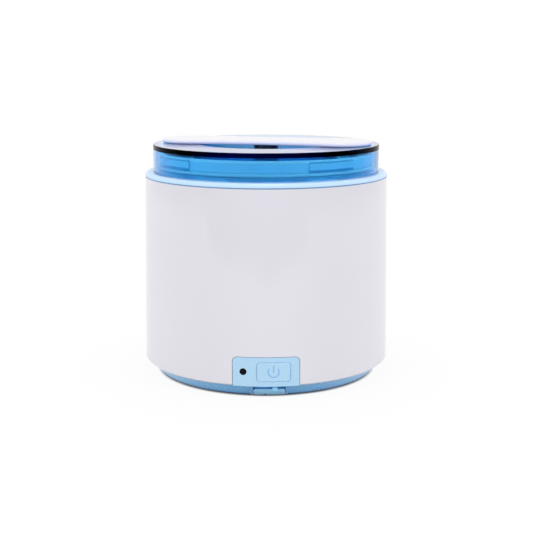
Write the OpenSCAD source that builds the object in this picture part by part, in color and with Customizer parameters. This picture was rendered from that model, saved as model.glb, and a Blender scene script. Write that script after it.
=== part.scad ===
// Small round ultrasonic cleaner with a lift-off tinted lid.
// Millimetres, +Z up, front towards -Y, origin on the floor under the centre.

/* [Housing] */
// Outer diameter of the white sleeve at its top edge
body_d = 110; // [106:1:118]
// Growth of the sleeve's radius from its top edge to its bottom edge
sleeve_draft = 1.25; // [0.6:0.05:2]
// Height of the sleeve
sleeve_h = 83.6; // [76:0.1:96]
// Wall of the sleeve
sleeve_wall = 2.4; // [1.8:0.1:3]
// Bevel on the sleeve's bottom edge
sleeve_bevel = 0.6; // [0.2:0.1:1]

/* [Base] */
// Height of the base's bevel, the band that shows, and the rounding of the port's boss
base_edge_r = 5.1; // [4.6:0.1:7]
// How far the base's edge lies inside the sleeve's outer face
base_step = 1.15; // [0.6:0.05:1.6]
// Thickness of the base's floor
base_floor = 2.4; // [2:0.1:3]
// Wall behind the base's bevel
base_wall = 2; // [1.6:0.1:2.4]
// Height of the base's spigot inside the sleeve
spigot_h = 8; // [6:0.5:10]
// Wall of the spigots that hold the sleeve
spigot_wall = 2; // [1.6:0.1:2.4]
// Diameter of a rubber foot
foot_d = 9; // [7:0.5:12]
// Height of a foot below the base
foot_h = 1; // [0.6:0.1:2]
// Depth of a foot's pocket in the base
foot_seat = 1; // [0.6:0.1:1.4]
// Radius of the circle that the feet stand on
foot_circle_r = 36; // [28:0.5:38]

/* [Control panel] */
// Width of the panel
panel_w = 28.4; // [24:0.2:34]
// Height of the panel above the sleeve's bottom edge
panel_h = 12.6; // [12:0.2:16]
// Radius of the panel's upper corners
panel_r = 2; // [1:0.1:4]
// Seam between the panel and the sleeve
panel_gap = 0.2; // [0.1:0.05:0.4]
// Thickness of the panel
panel_t = 3.4; // [3:0.1:4]
// Width of the power button
button_w = 14.1; // [11:0.1:15]
// Height of the power button
button_h = 8.1; // [6:0.1:9]
// Corner radius of the power button
button_r = 1.3; // [0.6:0.1:2.4]
// Sideways place of the button's centre
button_x = 3.2; // [1.5:0.1:4]
// Height of the button's centre above the sleeve's bottom edge
button_up = 6.4; // [6:0.1:7]
// Gap round the button
button_gap = 0.2; // [0.2:0.05:0.4]
// How far the button stands out from the panel
button_proud = 0.2; // [0:0.05:0.4]
// Travel of the button
button_travel = 0.6; // [0.3:0.05:1]
// Diameter of the indicator
led_d = 2.8; // [2:0.1:4]
// Distance of the indicator's centre from the panel's left edge
led_in = 4.45; // [4:0.05:5.5]
// Height of the indicator above the sleeve's bottom edge
led_up = 6.35; // [5:0.05:8]

/* [Charging port] */
// Sideways place of the port
port_x = 1.35; // [-1:0.05:3]
// Width of the port's rubber cover
cover_w = 13.5; // [12:0.1:16]
// Height of the cover
cover_h = 3; // [2.9:0.1:3.2]
// Slot between the cover and the panel
slot_h = 1.5; // [1.3:0.05:1.6]
// Wall of the port's boss on each side of the cover
port_boss_wall = 1; // [0.8:0.1:1.2]
// How far the cover stands out from the port's boss
cover_proud = 0.3; // [0.1:0.05:0.4]
// Gap round the cover
cover_gap = 0.2; // [0.2:0.05:0.4]
// Width of the cover's strap
strap_w = 2.1; // [1.6:0.1:3]
// Sideways place of the strap
strap_x = 3.75; // [0:0.05:5]
// Diameter of the strap's round root, which the cover swings on
strap_root_d = 1.6; // [1.2:0.1:1.8]
// Width of the charging socket
socket_w = 7.6; // [6.8:0.1:9]
// Height of the charging socket
socket_h = 2.6; // [2.4:0.1:2.8]
// Length of the charging socket
socket_l = 5.6; // [5:0.1:7]
// Length of the charging board
charge_board_l = 13; // [11:0.5:16]
// Width of the charging board on each side of the socket
charge_board_side = 4; // [3.5:0.1:6]

/* [Collar] */
// Height of the collar's bead on the sleeve
bead_h = 2.4; // [2:0.1:4]
// Rounding of the bead's outer edge
bead_r = 1.8; // [0.8:0.1:1.9]
// Width of the ledge outside the lid
ledge_w = 3.7; // [3:0.1:4.5]
// Wall of the neck that the lid goes over
neck_wall = 2.2; // [2:0.1:3]
// Space between the neck's top and the lid's plate
neck_clear = 1.3; // [0.8:0.1:3]
// Depth of the collar's spigot inside the sleeve
collar_spigot_h = 8; // [5:0.5:12]
// Thickness of the sealing ring round the neck
seal_d = 1.7; // [1.4:0.1:1.8]
// How far the sealing ring's lower side lies above the ledge
seal_up = 1.7; // [1.2:0.1:2.5]
// Arc of each lug on the neck, in degrees
lug_arc = 27; // [15:1:40]
// Height of each lug
lug_h = 4.2; // [3:0.1:4.3]
// Turn of the lugs against the housing's posts, in degrees
lug_turn = -10; // [-20:0.5:20]
// Height of the groove between the collar and the sleeve
seam_h = 0.5; // [0.3:0.05:0.6]
// Depth of that groove
seam_in = 0.5; // [0.3:0.05:0.8]

/* [Tank] */
// Sheet thickness of the tank
tank_wall = 0.8; // [0.5:0.1:1.2]
// Width of the tank's turned-out rim
tank_rim_w = 3.5; // [3:0.1:5]
// Radius of the tank's lower corner
tank_corner_r = 8; // [5:0.5:12]
// Thickness of the gasket under the rim
gasket_t = 0.8; // [0.5:0.1:1.2]

/* [Lid] */
// Height of the lid
lid_h = 11.8; // [11.2:0.1:16]
// Thickness of the lid's plate
lid_plate = 2.2; // [1.8:0.1:2.6]
// Wall of the lid's skirt
lid_wall = 1.8; // [1.4:0.1:2.4]
// Space between the skirt and the neck
lid_fit = 1.1; // [1:0.05:1.4]
// Turn of the lid about its axis, in degrees
lid_turn = -14.5; // [-45:0.5:45]
// Diameter of the finger dish
dish_d = 62; // [54:0.5:66]
// Depth of the finger dish
dish_depth = 7.5; // [6:0.1:8]
// Wall of the finger dish
dish_wall = 1.8; // [1.4:0.1:2.4]
// Inner corner radius of the finger dish
dish_corner_r = 2; // [1:0.1:4]
// Rounding of the lid's top edge
lid_edge_r = 0.5; // [0.2:0.05:1]

/* [Handle] */
// Length of the bar
bar_l = 96.6; // [90:0.1:100]
// Diameter of the bar's round ends
bar_end_d = 31; // [28:0.5:34]
// Thickness of the bar
bar_t = 1.8; // [1.4:0.1:3]
// Width of the bar at its waist
bar_waist = 24.4; // [22:0.2:27]
// Radius of the bar's hollow sides
bar_side_r = 170; // [150:5:250]
// Rounding of the bar's top edges
bar_edge_r = 1; // [0.4:0.1:1.6]
// Diameter of the post under the bar
post_d = 11; // [9:0.5:14]
// Diameter of the bar's locating pins
pin_d = 4; // [3:0.1:5]

/* [Drive] */
// Diameter of the transducer disc
disc_d = 40; // [34:1:48]
// Thickness of the transducer disc
disc_t = 2.6; // [2:0.1:4]
// Thickness of the glue between disc and tank
bond_t = 0.4; // [0.2:0.05:0.6]
// Thickness of a circuit board
board_t = 1.6; // [1:0.1:2]
// Diameter of a filter capacitor
capacitor_d = 8; // [6:0.5:10]
// Height of a filter capacitor
capacitor_h = 11; // [9:0.5:14]
// Outer diameter of the drive inductor
inductor_d = 18; // [14:0.5:20]
// Height of the drive inductor
inductor_h = 8; // [6:0.5:9]
// Space between the tallest component and the transducer disc
drive_clear = 1.4; // [1:0.1:4]

/* [Battery] */
// Diameter of a cell
cell_d = 18.4; // [16:0.1:21]
// Length of a cell
cell_l = 50; // [44:0.5:56]
// Wall between the cells and under them
holder_wall = 1.4; // [1:0.1:2]

/* [Fasteners] */
// Shank diameter of a housing screw
screw_d = 2.8; // [2.4:0.1:3.2]
// Length of a housing screw under its head
screw_l = 16; // [12:0.5:20]
// Shank diameter of a board screw
board_screw_d = 2.2; // [1.8:0.1:2.6]
// Length of a board screw under its head
board_screw_l = 7; // [5:0.5:7.5]

/* [Hidden] */
$fn = 96;
eps = 0.01;
fit = 0.1;          // gap round a piece in its hole
seat_gap = 0.15;    // gap between a spigot and the sleeve
lid_gap = 0.3;      // gap between the lid and what it sits on or over
over = 1;           // overrun of a cut

// Heights, from the floor up
base_z = foot_h;
floor_z = base_z + base_floor;
sleeve_z = base_z + base_edge_r;
sleeve_top = sleeve_z + sleeve_h;
ledge_z = sleeve_top + bead_h;
lid_z = ledge_z + lid_gap;
lid_top = lid_z + lid_h;
plate_z = lid_top - lid_plate;
neck_top = plate_z - neck_clear;
lug_z = ledge_z + seal_up + seal_d + 2 * fit;
dish_z = lid_top - dish_depth;
dish_under = dish_z - dish_wall;
rim_z = ledge_z + gasket_t;

// Radii, from the outside in
body_r = body_d / 2;
sleeve_r0 = body_r + sleeve_draft;
base_r = sleeve_r0 - base_step;
base_flat_r = base_r - base_edge_r;
spigot_r = sleeve_r(sleeve_z + spigot_h) - sleeve_wall - seat_gap;
cavity_r = spigot_r - spigot_wall;
bevel_fill = cavity_r - (base_flat_r + base_floor - base_wall * sqrt(2));
collar_spigot_r = body_r - sleeve_wall - seat_gap;
lid_r = body_r - ledge_w;
skirt_r = lid_r - lid_wall;
neck_r = skirt_r - lid_fit;
neck_bore_r = neck_r - neck_wall;
rim_r = neck_bore_r - fit;
tank_r = rim_r - tank_rim_w;
tank_gap = 0.4;
dish_r = dish_d / 2;
bar_end_x = bar_l / 2 - bar_end_d / 2;

// Handle's pins over the middle of its seats, and its screw up the post
pin_x = (dish_r + dish_wall + bar_l / 2) / 2;
handle_screw_d = 2.4;
bar_boss_d = 4.4;

// Housing screws, in posts beside the tank
corner_angles = [45, 135, 225, 315];
post_w = 6.4;
post_r = tank_r + 0.7 + post_w / 2;
boss_d = 8.4;
post_z = sleeve_z + spigot_h;
screw_head_d = 5.6;
screw_head_h = 2.4;
screw_seat_z = base_z + 6;

// Circuit board on its posts, above the cells
cell_r = cell_d / 2;
cell_z = floor_z + holder_wall + fit + cell_r;
board_z = cell_z + cell_r + 1.8;
board_top = board_z + board_t;
board_r = post_r - post_w / 2 - 0.6;
board_post_d = 7;
board_post_r = board_r - board_post_d / 2 - 0.6;
board_post_angles = [12, 168, 232, 308];
board_screw_head_h = 1.8;
sink_h = 10;
drive_h = max(capacitor_h, inductor_h, sink_h);

// Transducer and tank, stacked on the tallest component's headroom
disc_z = board_top + drive_h + drive_clear;
tank_z = disc_z + disc_t + bond_t;

// Control panel, its button and the board behind it
panel_back_r = sleeve_r0 - panel_t;
button_z = sleeve_z + button_up;
led_x = led_in - panel_w / 2;
led_z = sleeve_z + led_up;
button_lip = 1;
button_lip_t = 1.2;
button_lip_r = panel_back_r - button_gap;
button_back_r = button_lip_r - button_lip_t;
stem_d = 4;
stem_l = 1.6;
stem_end = button_back_r - stem_l;
switch_w = 6;
switch_h = 3.5;
switch_tip = 1;
switch_y = stem_end - button_travel - fit;
panel_board_y = switch_y - switch_tip - switch_h;
panel_board_w = panel_w - 4;
panel_board_z = sleeve_z + 1.4;
panel_board_top = sleeve_z + panel_h - 0.8;
guide_w = 4;
guide_grip = 0.8;
guide_d = 5;
guide_x = panel_board_w / 2 - guide_grip;
guide_y = -panel_board_y + board_t / 2 - guide_d / 2;
lens_lip_d = led_d + 1.6;
lens_back_y = panel_board_y + 5.3;

// Charging port
cover_top = sleeve_z - slot_h;
cover_z = cover_top - cover_h;
pocket_r = base_r - 2.7;
slot_r = base_r - 1.7;
cover_back_r = pocket_r + cover_gap;
port_boss_w = cover_w + 2 * cover_gap + 2 * port_boss_wall;
root_r = slot_r + 0.2 + strap_root_d / 2;
root_y = -sqrt(root_r * root_r - strap_x * strap_x);
root_z = sleeve_z - 0.3 - strap_root_d / 2;
socket_z = cover_top - cover_h / 2 + 0.2;
socket_front = cavity_r - 0.6;
socket_wall = 0.4;
charge_board_z = socket_z + socket_h / 2;
charge_board_w = socket_w + 2 * charge_board_side;
charge_board_front = socket_front - 0.8;
charge_pin_y = -(charge_board_front - charge_board_l + 3);
charge_pin_d = 1.9;
charge_pin_x = socket_w / 2 + charge_board_side - charge_pin_d - 0.3;

// Cells side by side, along X
cell_pitch = cell_d + holder_wall;
cell_y = [-2, cell_pitch - 2];
tab_t = 0.4;
tab_h = 7;
tab_w = 8;
holder_end = cell_l / 2 + tab_t + fit + holder_wall;

// Places of the components on the board
capacitor_y = 12.7 - board_r;
capacitor_at = [[6, capacitor_y], [-6, capacitor_y]];
inductor_at = [-16, -10];
connector_at = [12, -6];
chip_at = [20, 13];
sink_at = [-6, board_r - 15.7];
lead_d = 1.4;

// Outer radius of the drafted sleeve at height z
function sleeve_r(z) = body_r + sleeve_draft * (sleeve_top - z) / sleeve_h;

// Rectangle with rounded corners, centred
module rounded_rect(w, h, r) {
    square([w - 2 * r, h], center = true);
    square([w, h - 2 * r], center = true);
    for (x = [-1, 1], y = [-1, 1])
        translate([x * (w / 2 - r), y * (h / 2 - r)])
            circle(r);
}

// Half section of a cup with a rounded lower corner
module cup_section(r, z0, z1, corner) {
    translate([0, z0])
        square([r - corner, z1 - z0]);
    translate([0, z0 + corner])
        square([r, z1 - z0 - corner]);
    translate([r - corner, z0 + corner])
        circle(corner);
}

// Half section of a disc with a rounded upper edge
module cap_section(r, z0, z1, edge) {
    translate([0, z0])
        square([r - edge, z1 - z0]);
    translate([0, z0])
        square([r, z1 - z0 - edge]);
    intersection() {
        translate([r - edge, z1 - edge])
            circle(edge);
        translate([0, z0])
            square([r, z1 - z0]);
    }
}

// Ring section from radius r0 to r1
module band_section(r0, r1, z0, z1) {
    translate([r0, z0])
        square([r1 - r0, z1 - z0]);
}

// Upright tube
module tube(r0, r1, z0, z1) {
    difference() {
        translate([0, 0, z0])
            cylinder(r = r1, h = z1 - z0);
        translate([0, 0, z0 - over])
            cylinder(r = r0, h = z1 - z0 + 2 * over);
    }
}

// Outline drawn on the front, pushed through from near to far in front of the axis
module front_prism(x, z, near, far) {
    translate([x, -near, z])
        rotate([90, 0, 0])
            linear_extrude(far - near)
                children();
}

// Copies on a circle
module on_circle(r, angles) {
    for (a = angles)
        translate([r * cos(a), r * sin(a), 0])
            children();
}

// Solid bounded by the sleeve's drafted outer face, grown by e
module sleeve_cone(e) {
    translate([0, 0, sleeve_z])
        cylinder(r1 = sleeve_r0 + e, r2 = body_r + e, h = sleeve_h);
}

// Solid bounded by the port boss's rounded edge, grown by e
module base_puck(e) {
    rotate_extrude()
        intersection() {
            union() {
                translate([0, base_z - e])
                    square([base_flat_r, base_edge_r + e]);
                translate([base_flat_r, sleeve_z])
                    circle(base_edge_r + e);
            }
            translate([0, base_z - e])
                square([base_r + e, base_edge_r + e]);
        }
}

// Outline of the panel, centred on the sleeve's bottom edge and grown by e
module panel_outline(e) {
    rounded_rect(panel_w + 2 * e, 2 * (panel_h + e), panel_r + e);
}

module outer_shell() {
    color("white")
        difference() {
            rotate_extrude()
                polygon([
                    [sleeve_r0 - sleeve_wall, sleeve_z],
                    [sleeve_r0 - sleeve_bevel, sleeve_z],
                    [sleeve_r(sleeve_z + sleeve_bevel), sleeve_z + sleeve_bevel],
                    [body_r, sleeve_top],
                    [body_r - sleeve_wall, sleeve_top]]);
            front_prism(0, sleeve_z, 0, sleeve_r0 + over)
                panel_outline(panel_gap);
        }
}

// Panel tongue that fills the sleeve's cut-out, with a root inside the base's edge
module panel_tongue() {
    intersection() {
        difference() {
            sleeve_cone(0);
            cylinder(r = panel_back_r, h = sleeve_top);
        }
        front_prism(0, sleeve_z, 0, sleeve_r0 + over)
            panel_outline(0);
    }
    intersection() {
        tube(panel_back_r, base_r - base_step, sleeve_z - 1, sleeve_z + 1);
        front_prism(0, sleeve_z, 0, sleeve_r0)
            square([panel_w, 4], center = true);
    }
}

// Upright guides that hold the edges of the board behind the panel
module board_guides() {
    for (s = [-1, 1])
        difference() {
            translate([s * (guide_x + guide_w / 2) - guide_w / 2, guide_y, floor_z - eps])
                cube([guide_w, guide_d, panel_board_top - 3 - floor_z]);
            translate([-panel_board_w / 2 - fit, -panel_board_y - fit, panel_board_z - fit])
                cube([panel_board_w + 2 * fit, board_t + 2 * fit, panel_h + spigot_h]);
        }
}

// What is cut out of the base at the charging port
module port_cuts() {
    difference() {
        front_prism(port_x, cover_top + cover_gap - base_edge_r, 0, base_r + over)
            square([cover_w + 2 * cover_gap, 2 * base_edge_r], center = true);
        cylinder(r = pocket_r, h = sleeve_z);
    }
    difference() {
        front_prism(port_x, sleeve_z - slot_h, 0, base_r + over)
            square([cover_w + 2 * cover_gap, 2 * slot_h], center = true);
        cylinder(r = slot_r, h = sleeve_z + over);
    }
    front_prism(port_x, socket_z, socket_front - socket_l - fit, pocket_r + over)
        rounded_rect(socket_w + 2 * cover_gap, socket_h + 2 * fit, 0.8);
}

module base() {
    color("skyblue")
        difference() {
            union() {
                difference() {
                    union() {
                        translate([0, 0, base_z])
                            cylinder(r1 = base_flat_r, r2 = base_r, h = base_edge_r);
                        intersection() {
                            base_puck(0);
                            front_prism(port_x, sleeve_z, 0, base_r + over)
                                square([port_boss_w, 2 * base_edge_r], center = true);
                        }
                    }
                    translate([0, 0, floor_z])
                        cylinder(r1 = cavity_r - bevel_fill, r2 = cavity_r, h = bevel_fill);
                    translate([0, 0, floor_z + bevel_fill - eps])
                        cylinder(r = cavity_r, h = sleeve_h);
                    intersection() {
                        translate([0, 0, floor_z])
                            cylinder(r = cavity_r, h = sleeve_h);
                        front_prism(port_x, floor_z, 0, base_r)
                            square([port_boss_w, 2 * base_edge_r], center = true);
                    }
                }
                tube(cavity_r, spigot_r, sleeve_z - 1, sleeve_z + spigot_h);
                panel_tongue();
                on_circle(post_r, corner_angles)
                    translate([0, 0, floor_z - eps])
                        cylinder(d = boss_d, h = post_z - floor_z + eps);
                on_circle(board_post_r, board_post_angles)
                    translate([0, 0, floor_z - eps])
                        cylinder(d = board_post_d, h = board_z - floor_z + eps);
                board_guides();
                for (s = [-1, 1])
                    translate([port_x + s * charge_pin_x, charge_pin_y, floor_z - eps]) {
                        cylinder(d = charge_pin_d + 2, h = charge_board_z - floor_z + eps);
                        cylinder(d = charge_pin_d, h = charge_board_z + board_t + 0.6 - floor_z);
                    }
            }
            intersection() {
                cylinder(r = panel_back_r, h = sleeve_top);
                translate([-panel_w / 2 + 1.5, -sleeve_r0, sleeve_z + eps])
                    cube([panel_w - 3, sleeve_r0 - cavity_r + 3, panel_h + spigot_h]);
            }
            front_prism(button_x, button_z, cavity_r - 2, sleeve_r0 + over)
                rounded_rect(button_w + 2 * button_gap, button_h + 2 * button_gap, button_r + button_gap);
            front_prism(led_x, led_z, cavity_r - 2, sleeve_r0 + over)
                circle(d = led_d + 2 * fit);
            port_cuts();
            on_circle(post_r, corner_angles) {
                translate([0, 0, base_z - over])
                    cylinder(d = screw_d + 0.6, h = post_z);
                translate([0, 0, base_z - over])
                    cylinder(d = screw_head_d + 0.4, h = screw_seat_z - base_z + over);
            }
            on_circle(foot_circle_r, corner_angles)
                translate([0, 0, base_z - over])
                    cylinder(d = foot_d + 2 * fit, h = foot_seat + over);
            on_circle(board_post_r, board_post_angles)
                translate([0, 0, board_z - board_screw_l - over])
                    cylinder(d = board_screw_d + fit, h = board_screw_l + 2 * over);
        }
}

module rubber_feet() {
    color("dimgray")
        on_circle(foot_circle_r, corner_angles)
            cylinder(d = foot_d, h = foot_h + foot_seat);
}

// Round-headed screw standing on its head, thread upwards
module screw(d, l, head_d, head_h) {
    translate([0, 0, -head_h])
        cylinder(d = head_d, h = head_h);
    translate([0, 0, -eps])
        cylinder(d = d, h = l + eps);
}

module base_screws() {
    color("silver")
        on_circle(post_r, corner_angles)
            translate([0, 0, screw_seat_z])
                screw(screw_d, screw_l, screw_head_d, screw_head_h);
}

module collar() {
    color("lightskyblue")
        difference() {
            union() {
                rotate_extrude() {
                    difference() {
                        cap_section(body_r, sleeve_top, ledge_z, bead_r);
                        translate([0, sleeve_top - over])
                            square([tank_r + tank_gap, bead_h + 2 * over]);
                        band_section(body_r - seam_in, body_r + over, sleeve_top - over, sleeve_top + seam_h);
                    }
                    difference() {
                        union() {
                            band_section(neck_bore_r, neck_r, ledge_z - eps, neck_top - neck_wall / 2);
                            translate([neck_r - neck_wall / 2, neck_top - neck_wall / 2])
                                circle(d = neck_wall);
                        }
                        band_section(neck_r - seal_d / 2, neck_r + over, ledge_z + seal_up - fit,
                            ledge_z + seal_up + seal_d + fit);
                    }
                    band_section(collar_spigot_r - spigot_wall, collar_spigot_r,
                        sleeve_top - collar_spigot_h, sleeve_top + eps);
                }
                on_circle(post_r, corner_angles)
                    translate([0, 0, post_z])
                        cylinder(d = post_w, h = sleeve_top - post_z + eps);
                for (a = corner_angles)
                    rotate([0, 0, a + lug_turn - lug_arc / 2])
                        rotate_extrude(angle = lug_arc)
                            band_section(neck_r - neck_wall / 4, skirt_r - lid_gap, lug_z, lug_z + lug_h);
            }
            on_circle(post_r, corner_angles)
                translate([0, 0, post_z - over])
                    cylinder(d = screw_d + fit, h = screw_seat_z + screw_l + 2 - post_z + over);
        }
}

module lid_seal() {
    color("whitesmoke")
        rotate_extrude()
            translate([neck_r + fit / 2, ledge_z + seal_up + seal_d / 2])
                circle(d = seal_d - fit);
}

module tank() {
    color("silver")
        rotate_extrude() {
            difference() {
                cup_section(tank_r, tank_z, rim_z + tank_wall, tank_corner_r);
                cup_section(tank_r - tank_wall, tank_z + tank_wall, rim_z + tank_wall + over,
                    tank_corner_r - tank_wall);
            }
            band_section(tank_r - eps, rim_r, rim_z, rim_z + tank_wall);
        }
}

module tank_seal() {
    color("gainsboro")
        tube(tank_r + tank_gap, rim_r, ledge_z, rim_z);
}

module transducer_bond() {
    color("khaki")
        translate([0, 0, disc_z + disc_t])
            cylinder(d = disc_d + 2, h = bond_t);
}

module transducer_disc() {
    color("darkgray")
        translate([0, 0, disc_z])
            cylinder(d = disc_d, h = disc_t);
}

// Two leads from the connector up to the disc
module transducer_leads() {
    color("red")
        for (s = [-1, 1])
            translate([connector_at.x + s * 1.5, connector_at.y, board_top + 6])
                cylinder(d = lead_d, h = disc_z - board_top - 6);
}

module main_board() {
    color("darkgreen")
        difference() {
            translate([0, 0, board_z])
                cylinder(r = board_r, h = board_t);
            on_circle(board_post_r, board_post_angles)
                translate([0, 0, board_z - over])
                    cylinder(d = board_screw_d + 0.4, h = board_t + 2 * over);
        }
}

module board_screws() {
    color("silver")
        on_circle(board_post_r, board_post_angles)
            translate([0, 0, board_top])
                mirror([0, 0, 1])
                    screw(board_screw_d, board_screw_l, board_screw_d * 2, board_screw_head_h);
}

module drive_inductor() {
    color("saddlebrown")
        translate([inductor_at.x, inductor_at.y, board_top])
            rotate_extrude()
                translate([inductor_d * 0.34, inductor_h / 2])
                    rounded_rect(inductor_d * 0.32, inductor_h, inductor_d * 0.1);
}

module filter_capacitors() {
    color("navy")
        for (p = capacitor_at)
            translate([p.x, p.y, board_top])
                rotate_extrude()
                    cap_section(capacitor_d / 2, 0, capacitor_h, 0.6);
}

module heat_sink() {
    fins = 7;
    sink_w = 30;
    fin_t = 1.2;
    fin_l = 7;
    color("gray")
        translate([sink_at.x, sink_at.y, board_top])
            linear_extrude(sink_h) {
                translate([-sink_w / 2, -3])
                    square([sink_w, 2]);
                for (i = [0 : fins - 1])
                    translate([-sink_w / 2 + i * (sink_w - fin_t) / (fins - 1), -1 - eps])
                        square([fin_t, fin_l]);
            }
}

module power_transistor() {
    color("black")
        translate([sink_at.x - 5, sink_at.y - 3 - 4.4, board_top])
            cube([10, 4.4, 9]);
}

module controller_chip() {
    pins = 7;
    color("black")
        translate([chip_at.x, chip_at.y, board_top]) {
            translate([-5, -3, 0.2])
                cube([10, 6, 1.6]);
            for (i = [0 : pins - 1], s = [-1, 1])
                translate([-4.2 + i * 1.27, s * 3.4 - 0.5, 0])
                    cube([0.5, 1, 0.8]);
        }
}

module lead_connector() {
    color("ivory")
        translate([connector_at.x - 3.5, connector_at.y - 2.5, board_top])
            cube([7, 5, 6]);
}

module battery_holder() {
    y0 = cell_y[0] - cell_r - holder_wall;
    color("dimgray")
        difference() {
            translate([-holder_end, y0, floor_z])
                cube([2 * holder_end, cell_y[1] + cell_r + holder_wall - y0, cell_z - floor_z]);
            for (y = cell_y)
                translate([-holder_end + holder_wall, y, cell_z])
                    rotate([0, 90, 0])
                        cylinder(r = cell_r + fit, h = 2 * (holder_end - holder_wall));
        }
}

module battery_cells() {
    color("steelblue")
        for (y = cell_y)
            translate([-cell_l / 2, y, cell_z])
                rotate([0, 90, 0])
                    cylinder(d = cell_d, h = cell_l);
}

// One strip joins the cells at +X, and each cell has its own at -X
module battery_tabs() {
    color("lightgray") {
        translate([cell_l / 2, cell_y[0] - tab_w / 2, cell_z + fit])
            cube([tab_t, cell_pitch + tab_w, tab_h]);
        for (y = cell_y)
            translate([-cell_l / 2 - tab_t, y - tab_w / 2, cell_z + fit])
                cube([tab_t, tab_w, tab_h]);
    }
}

module battery_leads() {
    color("red")
        for (y = cell_y)
            translate([-cell_l / 2 - lead_d / 2, y, cell_z + fit + tab_h])
                cylinder(d = lead_d, h = board_z - cell_z - fit - tab_h);
}

module button_board() {
    color("darkgreen")
        translate([-panel_board_w / 2, -panel_board_y, panel_board_z])
            cube([panel_board_w, board_t, panel_board_top - panel_board_z]);
}

module tact_switch() {
    color("black") {
        front_prism(button_x, button_z, panel_board_y, panel_board_y + switch_h)
            square(switch_w, center = true);
        front_prism(button_x, button_z, panel_board_y + switch_h - eps, switch_y)
            circle(d = 3.4);
    }
}

module indicator_led() {
    color("palegreen")
        front_prism(led_x, led_z, panel_board_y, lens_back_y - 0.2)
            circle(d = led_d);
}

module indicator_lens() {
    color("black") {
        intersection() {
            sleeve_cone(0);
            front_prism(led_x, led_z, lens_back_y, sleeve_r0)
                circle(d = led_d);
        }
        intersection() {
            cylinder(r = panel_back_r - fit, h = sleeve_top);
            front_prism(led_x, led_z, lens_back_y, sleeve_r0)
                circle(d = lens_lip_d);
        }
    }
}

// Flat ribbon from the button's board up to the main board
module panel_ribbon() {
    ribbon_w = 8;
    ribbon_t = 0.6;
    ribbon_x = -9;
    back_y = -panel_board_y + board_t;
    color("lightgray") {
        translate([ribbon_x, back_y, panel_board_top - 3])
            cube([ribbon_w, 4, ribbon_t]);
        translate([ribbon_x, back_y + 4 - ribbon_t, panel_board_top - 3])
            cube([ribbon_w, ribbon_t, board_z - panel_board_top + 3]);
    }
}

module charge_board() {
    color("darkgreen")
        difference() {
            translate([port_x - charge_board_w / 2, -charge_board_front, charge_board_z])
                cube([charge_board_w, charge_board_l, board_t]);
            for (s = [-1, 1])
                translate([port_x + s * charge_pin_x, charge_pin_y, charge_board_z - over])
                    cylinder(d = charge_pin_d + 2 * fit, h = board_t + 2 * over);
        }
}

// Metal socket with a plastic tongue inside
module charge_socket() {
    color("silver") {
        difference() {
            front_prism(port_x, socket_z, socket_front - socket_l, socket_front)
                rounded_rect(socket_w, socket_h, 0.8);
            front_prism(port_x, socket_z, socket_front - socket_l + 1, socket_front + over)
                rounded_rect(socket_w - 2 * socket_wall, socket_h - 2 * socket_wall, 0.5);
        }
        front_prism(port_x, socket_z, socket_front - socket_l + 1 - eps, socket_front - 1)
            square([socket_w - 3, 0.6], center = true);
    }
}

module charge_leads() {
    color("red")
        for (s = [-1, 1])
            translate([port_x + charge_pin_x / 3 + s * lead_d, charge_pin_y, charge_board_z + board_t])
                cylinder(d = lead_d, h = board_z - charge_board_z - board_t);
}

module button_cap() {
    color("skyblue") {
        intersection() {
            difference() {
                sleeve_cone(button_proud);
                cylinder(r = button_back_r, h = sleeve_top);
            }
            front_prism(button_x, button_z, 0, sleeve_r0 + over)
                rounded_rect(button_w, button_h, button_r);
        }
        intersection() {
            tube(button_back_r, button_lip_r, sleeve_z, sleeve_top);
            front_prism(button_x, button_z, 0, sleeve_r0)
                rounded_rect(button_w + 2 * button_lip, button_h + 2 * button_lip, button_r);
        }
        front_prism(button_x, button_z, stem_end, button_back_r + button_lip_t / 2)
            circle(d = stem_d);
    }
}

module port_cover() {
    color("cornflowerblue") {
        difference() {
            intersection() {
                difference() {
                    base_puck(cover_proud);
                    cylinder(r = cover_back_r, h = sleeve_z);
                }
                front_prism(port_x, cover_z + cover_h / 2, 0, base_r + over)
                    rounded_rect(cover_w, cover_h, 1);
            }
            front_prism(-0.3, cover_z, 0, base_r + over)
                circle(0.7);
        }
        front_prism(port_x, socket_z, cover_back_r - 0.9, cover_back_r + 0.5)
            rounded_rect(socket_w - 1.4, socket_h - 1, 0.5);
        translate([strap_x - strap_w / 2, root_y, root_z])
            rotate([0, 90, 0])
                cylinder(d = strap_root_d, h = strap_w);
        translate([strap_x - strap_w / 2, root_y - strap_root_d / 2, cover_top - 0.8])
            cube([strap_w, strap_root_d, root_z - cover_top + 0.8]);
    }
}

// Anything that belongs to the lid, turned as the lid is
module lid_frame() {
    rotate([0, 0, lid_turn])
        children();
}

module lid_cover() {
    color("dodgerblue", 0.5)
        lid_frame()
            difference() {
                union() {
                    rotate_extrude()
                        difference() {
                            union() {
                                difference() {
                                    cap_section(lid_r, lid_z, lid_top, lid_edge_r);
                                    translate([0, lid_z - over])
                                        square([skirt_r, plate_z - lid_z + over]);
                                }
                                cup_section(dish_r + dish_wall, dish_under, lid_top - eps,
                                    dish_corner_r + dish_wall);
                            }
                            cup_section(dish_r, dish_z, lid_top + over, dish_corner_r);
                        }
                }
                for (s = [-1, 1])
                    translate([s * pin_x, 0, plate_z - over])
                        cylinder(d = pin_d + 2 * fit, h = lid_plate + 2 * over);
                translate([0, 0, dish_under - over])
                    cylinder(d = handle_screw_d + 0.4, h = dish_wall + 2 * over);
            }
}

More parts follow.
